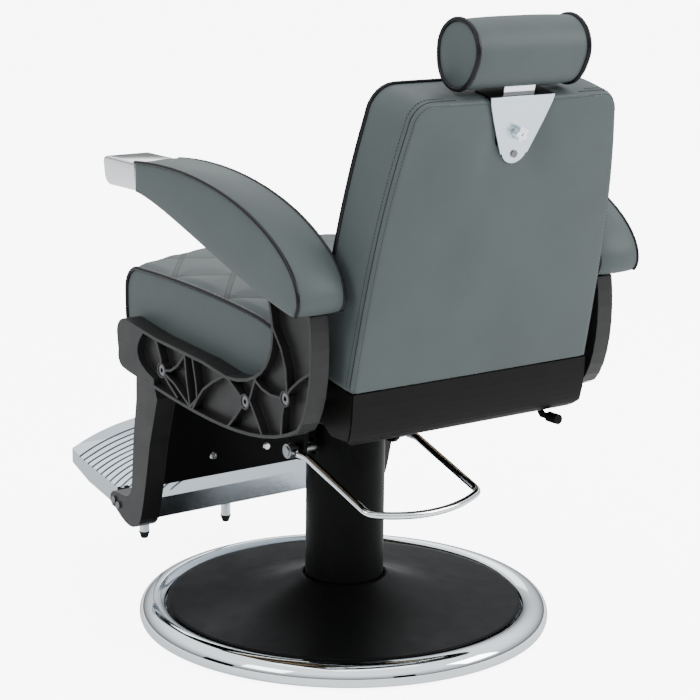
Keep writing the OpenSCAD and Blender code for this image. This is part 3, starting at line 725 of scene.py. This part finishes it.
def stitches(name, pts, body, step=0.0052, length=0.0036, r=0.00042, closed=False):
    """Short threads along a line, joined into one piece."""
    p = np.asarray(pts, float)
    s = np.concatenate([[0], np.cumsum(np.linalg.norm(np.diff(p, axis=0), axis=1))])
    verts, faces = [], []
    for a in np.arange(step, s[-1] - length, step):
        ends = [np.array([np.interp(a + f * length, s, p[:, k]) for k in range(3)])
                for f in (0, 0.25, 0.75, 1)]
        t = Vector(ends[3] - ends[0]).normalized()
        u = t.orthogonal().normalized()
        w = t.cross(u)
        base = len(verts)
        for q, k in zip(ends, (0.35, 1, 1, 0.35)):
            for c in range(6):
                ang = math.pi * c / 3
                verts.append(Vector(q) + r * k * (math.cos(ang) * u + math.sin(ang) * w))
        for j in range(3):
            for c in range(6):
                e = (c + 1) % 6
                a, b = base + j * 6, base + (j + 1) * 6
                faces.append((a + c, a + e, b + e, b + c))
        faces.append(tuple(base + c for c in range(6))[::-1])
        faces.append(tuple(base + 18 + c for c in range(6)))
    return make(name, verts, faces, THREAD, body)


back_cover()
for k, (d, inset, r) in enumerate(((-0.0016, 0.0052, 0.030), (-0.0146, -0.0003, 0.034))):
    half = back_loop(inset, r, 0.004, 0.0005, n=160)[14:-24]
    for hand, side in SIDES:
        row = [on_back(side * x, d, h) for x, h in half]
        stitches(f"back_stitch_{k}_{hand}", row, "back")
half = back_loop(0.0014, 0.034, 0.004, n=160)[12:-22]
for hand, side in SIDES:
    row = [on_back(side * x, -0.0078, h) for x, h in half]
    tube(f"back_seam_{hand}", row, 0.0009, THREAD, "back", sides=8)


# ---------- headrest ----------

HEAD = (-0.032, 0.482)
HEAD_HALF = 0.100


HEAD_R = 0.0435
HEAD_LOW = 0.0525                  # how far the narrow underside reaches below the middle
HEAD_SIDES = 96


def head_ring(scale):
    """The bolster's egg-shaped outline, narrow end down."""
    low = bez((-0.041, -0.013), (-0.037, -0.036), (-0.022, -0.052), (0.0, -HEAD_LOW), 16)[1:]
    mirror = (low * (-1, 1))[-2::-1]
    outline = np.vstack([arc((0, 0.002), HEAD_R, -20, 200, 46), low, mirror])
    return soften(spread(outline, HEAD_SIDES, True), 4, True) * scale


def head_cover():
    xs = HEAD_HALF * np.sin(np.linspace(-1, 1, 41) * math.pi / 2)
    n = HEAD_SIDES
    verts, faces, sharp = [], [], []
    for x in xs:
        u = abs(x) / HEAD_HALF
        k = 0.975 + 0.055 * (1 - u ** 2.6)
        for y, z in head_ring(k):
            verts.append(on_back(x, HEAD[0] + y, HEAD[1] + z))
    m = len(xs)
    for j in range(m - 1):
        for i in range(n):
            q = (i + 1) % n
            faces.append((j * n + i, j * n + q, (j + 1) * n + q, (j + 1) * n + i))
    for side, j in ((-1, 0), (1, m - 1)):
        prev = [j * n + i for i in range(n)]
        sharp += [(prev[i], prev[(i + 1) % n]) for i in range(n)]
        for f in (0.93, 0.84, 0.72, 0.58, 0.42, 0.26, 0.12):
            ring = []
            x = side * (HEAD_HALF + 0.0072 * (1 - f ** 2.2))
            for y, z in head_ring(0.975 * f):
                verts.append(on_back(x, HEAD[0] + y, HEAD[1] + z))
                ring.append(len(verts) - 1)
            for i in range(n):
                faces.append((prev[i], prev[(i + 1) % n], ring[(i + 1) % n], ring[i]))
            prev = ring
        faces.append(tuple(prev))
    ob = make("headrest_cover", verts, faces, LEATHER, "headrest", sharp)
    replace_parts(ob, "head_pad")
    for hand, side in SIDES:
        line = [on_back(side * HEAD_HALF, HEAD[0] + y, HEAD[1] + z) for y, z in head_ring(0.98)]
        tube(f"headrest_piping_{hand}", line, 0.0038, VINYL, "headrest", closed=True)


head_cover()


# ---------- calf pad ----------

lo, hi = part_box("calf_pad")
CALF_HALF = hi.x - 0.002
CALF_POINTS = 90
CORNER_IN, CORNER_R = 0.014, 0.012
calf_front = soften(spread(np.vstack([
    [(hi.y, lo.z + 0.001)],
    arc((lo.y + CORNER_IN, lo.z + CORNER_IN), CORNER_R, 265, 180, 8),
    arc((lo.y + CORNER_IN, hi.z - CORNER_IN), CORNER_R, 180, 95, 8),
    [(hi.y, hi.z - 0.001)]]), CALF_POINTS), 4)
calf_rear = spread([(hi.y - 0.0005, lo.z + 0.003), (hi.y - 0.0005, hi.z - 0.003)], CALF_POINTS)


def calf_lift(x, s, which):
    if which == "b":
        return np.zeros_like(s)
    u = abs(x) / CALF_HALF
    total = max(s[0], s[-1])
    near = smooth01((1 - u) * CALF_HALF / 0.02)
    fade = smooth01(s / 0.05) * (1 - smooth01((s - (total - 0.05)) / 0.05))
    return (0.004 * (1 - u ** 3) + (quilt_height(x, s, *QUILT, 0.003) + 0.0025) * near) * fade


calf = loft_x("calf_cover", CALF_HALF, "legrest", QUILTED, 120, calf_front, calf_rear, calf_lift,
              0.002, uv=True)
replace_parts(calf, "calf_pad")
for k, side in SIDES:
    line = [(side * CALF_HALF, y, z) for y, z in calf_front]
    tube(f"calf_piping_{k}", line, 0.0030, VINYL, "legrest")


# ---------- smooth metal skins ----------

lo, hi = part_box("base_ring")
RING_HALF, RING_WALL = 0.024, 0.0025
RING_Z = 0.014                     # height of the widest part of the ring's arch
ring_mid, ring_top = hi.x - RING_HALF, hi.z


def ring_arch(inset, a0, a1, n):
    """Half of the ring's hollow section, from angle a0 to a1, as (radius, z)."""
    wide, high = RING_HALF - inset, ring_top - RING_Z - inset
    angles = np.radians(np.linspace(a0, a1, n))
    return [(ring_mid + wide * math.cos(a), RING_Z + high * math.sin(a)) for a in angles]


ring_profile = ring_arch(0.0, 190.5, -27, 44) + ring_arch(RING_WALL, -30.8, 191.8, 30)
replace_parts(revolve("base_ring_skin", ring_profile, CHROME, "base", 220), "base_ring")

lo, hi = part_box("base_cover")
NECK, EDGE_R, EDGE_Z = 0.066, hi.x, 0.032
COVER_WALL, NECK_DEPTH = 0.0025, 0.008
t = np.linspace(0, 1, 40)
cone = [(EDGE_R - a * (EDGE_R - NECK), EDGE_Z + (hi.z - EDGE_Z) * a ** 2.6) for a in t]
under = [(r, z - COVER_WALL) for r, z in cone[:-1]] + [(NECK, hi.z - COVER_WALL - NECK_DEPTH)]
under = under[::-1]
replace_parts(revolve("base_cover_skin", cone + under, SATIN_BLACK, "base", 200), "base_cover")


# ---------- pedal ----------

PEDAL_TILT, PEDAL_BOW = math.radians(18), math.radians(25)
KNEE_Y, KNEE_Z, AXLE_Z = 0.052, 0.290, 0.292
PEDAL_LENGTH, PEDAL_HALF, CORNER, ROD_R = 0.148, 0.108, 0.018, 0.006


def pedal():
    """One rod, drawn flat on one side from the bowed tread to the eye, tilted, and mirrored."""
    X, length = PEDAL_HALF, PEDAL_LENGTH
    bow_r = (X - CORNER + CORNER * math.sin(PEDAL_BOW)) / math.sin(PEDAL_BOW)
    bow_v = length - (bow_r - CORNER) * math.cos(PEDAL_BOW)
    flat = [(bow_r * math.sin(a), bow_v + bow_r * math.cos(a)) for a in np.linspace(0, PEDAL_BOW, 20)]
    flat += arc((X - CORNER, length), CORNER, 90 - math.degrees(PEDAL_BOW), 0, 12).tolist()[1:]
    flat += [(X, v) for v in np.linspace(length * 0.85, 0.008, 12)]
    cos, sin = math.cos(PEDAL_TILT), math.sin(PEDAL_TILT)
    half = [(u, KNEE_Y + v * cos, KNEE_Z - v * sin) for u, v in flat]
    bend = bez(half[-1], (X, KNEE_Y + 0.002, KNEE_Z - 0.0004), (X, KNEE_Y - 0.004, AXLE_Z),
               (X, 0.042, AXLE_Z), 8)
    half += [tuple(p) for p in bend[1:]] + [(X, 0.026, AXLE_Z), (X, 0.0128, AXLE_Z)]
    line = half[::-1] + [(-x, y, z) for x, y, z in half[1:]]
    ob = tube("pedal_rod", line, ROD_R, CHROME, "pedal", sides=20)
    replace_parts(ob, "pedal_loop")


pedal()


# ---------- stage and light ----------

def area(name, loc, target, size, energy):
    """A square soft light at loc, facing target."""
    light = bpy.data.lights.new(name, "AREA")
    light.energy, light.size = energy, size
    ob = bpy.data.objects.new(name, light)
    bpy.context.scene.collection.objects.link(ob)
    ob.location = loc
    ob.rotation_mode = "QUATERNION"
    ob.rotation_quaternion = (Vector(target) - Vector(loc)).to_track_quat("-Z", "Y")


def card(name, at, width, height):
    """An upright black card beside the camera, facing the chair, for dark reflections in the chrome."""
    right = Vector((-at[1], at[0], 0)).normalized() * width / 2
    up = Vector((0, 0, height / 2))
    me = bpy.data.meshes.new(name)
    corners = [Vector(at) + a * right + b * up for a, b in ((-1, -1), (1, -1), (1, 1), (-1, 1))]
    me.from_pydata(corners, [], [(0, 1, 2, 3)])
    me.materials.append(CARD)
    ob = bpy.data.objects.new(name, me)
    bpy.context.scene.collection.objects.link(ob)
    ob.visible_camera = False


CARD = painted("black_card", (0.004, 0.004, 0.0045), 0.8, 0.9, 200.0, 0.0002, gloss=0.0)


def camera_only(net, strength, socket):
    """Light that only the camera sees, so the backdrop looks white without lighting the chair."""
    path = net.node("ShaderNodeLightPath")
    net.link(net.math("MULTIPLY", path.outputs["Is Camera Ray"], strength), socket)


FLOOR_HALF, FLOOR_DROP = 30, 0.0005
FLOOR_GLOW = 7.0
SKY_RAMP = (0.05, 0.6, 0.2, 1.7)   # from and to heights, then the strengths there
SKY_TINT = (0.95, 0.98, 1.0, 1)


def floor():
    me = bpy.data.meshes.new("floor")
    h = FLOOR_HALF
    me.from_pydata([(-h, -h, 0), (h, -h, 0), (h, h, 0), (-h, h, 0)], [], [(0, 1, 2, 3)])
    m = new_mat("floor_white", (0.9, 0.9, 0.9), 0.6, Specular_IOR_Level=0.1, Emission_Color=(1, 1, 1, 1))
    n = Net(m)
    n.color(n.mix(n.noise(2.0), (0.89, 0.89, 0.89), (0.91, 0.91, 0.91)))
    camera_only(n, FLOOR_GLOW, n.bsdf.inputs["Emission Strength"])
    me.materials.append(m)
    ob = bpy.data.objects.new("floor", me)
    bpy.context.scene.collection.objects.link(ob)
    ob.location.z = -FLOOR_DROP


def sky():
    """A pale dome, dim at the horizon and bright overhead."""
    world = bpy.data.worlds.new("studio")
    bpy.context.scene.world = world
    world.use_nodes = True
    t = world.node_tree
    background = t.nodes["Background"]
    background.inputs[0].default_value = SKY_TINT
    sep = t.nodes.new("ShaderNodeSeparateXYZ")
    t.links.new(t.nodes.new("ShaderNodeTexCoord").outputs["Generated"], sep.inputs[0])
    ramp = t.nodes.new("ShaderNodeMapRange")
    for i, v in enumerate(SKY_RAMP):
        ramp.inputs[i + 1].default_value = v
    t.links.new(sep.outputs[2], ramp.inputs[0])
    t.links.new(ramp.outputs[0], background.inputs[1])


floor()
sky()
area("key", (-3.0, 3.0, 2.6), (0, 0.1, 0.5), 2.0, 150)
area("side", (3.4, 0.6, 2.2), (0, 0, 0.5), 1.6, 38)
area("top", (0, 0.2, 4.0), (0, 0, 0.4), 2.5, 30)
area("front", (-1.5, -3.2, 2.4), (0, 0, 0.6), 1.8, 14)
card("left_card", (4.6, -1.2, 0.75), 1.6, 1.5)
card("right_card", (0.4, 5.2, 0.75), 1.1, 1.5)
